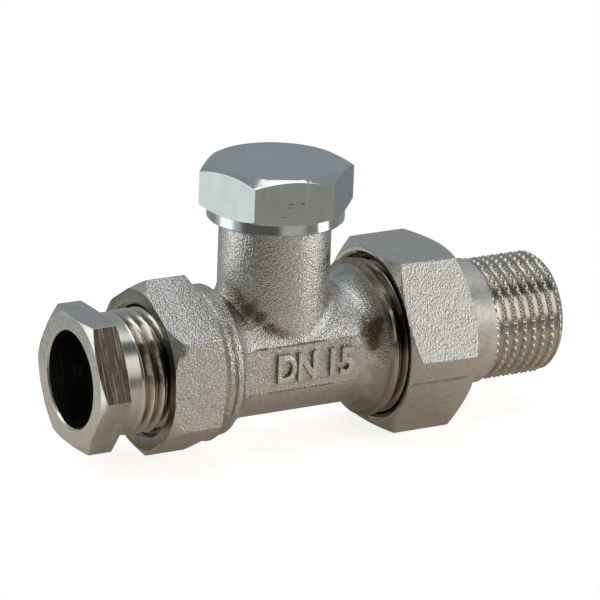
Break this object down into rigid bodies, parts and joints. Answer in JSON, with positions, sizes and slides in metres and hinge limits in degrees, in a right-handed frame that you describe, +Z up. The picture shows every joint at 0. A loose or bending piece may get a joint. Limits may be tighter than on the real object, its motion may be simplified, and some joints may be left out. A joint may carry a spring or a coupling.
{
  "type": "manual radiator valve",
  "caption": "Straight lockshield radiator valve: hexagon socket end with compression set for a pipe, capped neck over the shut-off spindle, and a union tailpiece.",
  "frame": {"origin": "on the run's axis, at the stop that the pipe is pushed against in the socket", "axes": "+X along the run to the radiator end, +Z up along the neck to the protective cap"},
  "size_m": [0.0891, 0.0342, 0.0478],
  "materials": {
    "blasted_nickel": "forged brass, shot blasted and nickel plated",
    "turned_nickel": "turned brass, nickel plated, glossy",
    "polished_nickel": "turned and polished brass, nickel plated",
    "raw_brass": "turned",
    "seal_rubber": "smooth",
    "gasket_fibre": "pressed fibre",
    "spring_steel": "phosphated"
  },
  "bodies": {
    "valve": {"valve_body": "blasted_nickel", "bonnet": "raw_brass", "bonnet_gasket": "gasket_fibre", "spindle_circlip": "spring_steel"},
    "cap_carriage": {"cap_gasket": "gasket_fibre"},
    "cap": {"protective_cap": "polished_nickel"},
    "stem_carriage": {"stem_oring_lower": "seal_rubber", "stem_oring_upper": "seal_rubber", "seat_washer": "seal_rubber"},
    "stem": {"spindle": "raw_brass", "washer_screw": "raw_brass"},
    "clamp_carriage": {"thrust_washer": "raw_brass", "clamp_ring": "raw_brass", "seal_ring": "seal_rubber"},
    "clamp_screw": {"compression_screw": "turned_nickel"},
    "tail": {"tailpiece": "turned_nickel"},
    "nut": {"union_nut": "blasted_nickel"}
  },
  "joints": [
    {"name": "cap_lift", "type": "slide", "parent": "valve", "child": "cap_carriage", "axis": [0, 0, 1], "range_m": [0, 0.006]},
    {"name": "cap_turn", "type": "hinge", "parent": "cap_carriage", "child": "cap", "pos_m": [0.0108, 0, 0.028], "axis": [0, 0, 1], "range_deg": [0, 2160]},
    {"name": "stem_lift", "type": "slide", "parent": "valve", "child": "stem_carriage", "axis": [0, 0, 1], "range_m": [-0.003, 0]},
    {"name": "stem_turn", "type": "hinge", "parent": "stem_carriage", "child": "stem", "pos_m": [0.0108, 0, 0.0165], "axis": [0, 0, 1], "range_deg": [-1080, 0]},
    {"name": "clamp_slide", "type": "slide", "parent": "valve", "child": "clamp_carriage", "axis": [-1, 0, 0], "range_m": [0, 0.0127]},
    {"name": "clamp_turn", "type": "hinge", "parent": "clamp_carriage", "child": "clamp_screw", "pos_m": [-0.01415, 0, 0], "axis": [-1, 0, 0], "range_deg": [0, 2520]},
    {"name": "tail_slide", "type": "slide", "parent": "valve", "child": "tail", "axis": [1, 0, 0], "range_m": [0, 0.00726]},
    {"name": "nut_turn", "type": "hinge", "parent": "tail", "child": "nut", "pos_m": [0.0362, 0, 0], "axis": [1, 0, 0], "range_deg": [0, 1440]}
  ],
  "couplings": [
    {"joint": "cap_lift", "follows": "cap_turn", "m_per_rad": 0.00015915},
    {"joint": "stem_lift", "follows": "stem_turn", "m_per_rad": 0.00015915},
    {"joint": "clamp_slide", "follows": "clamp_turn", "m_per_rad": 0.00028871},
    {"joint": "tail_slide", "follows": "nut_turn", "m_per_rad": 0.00028871}
  ]
}
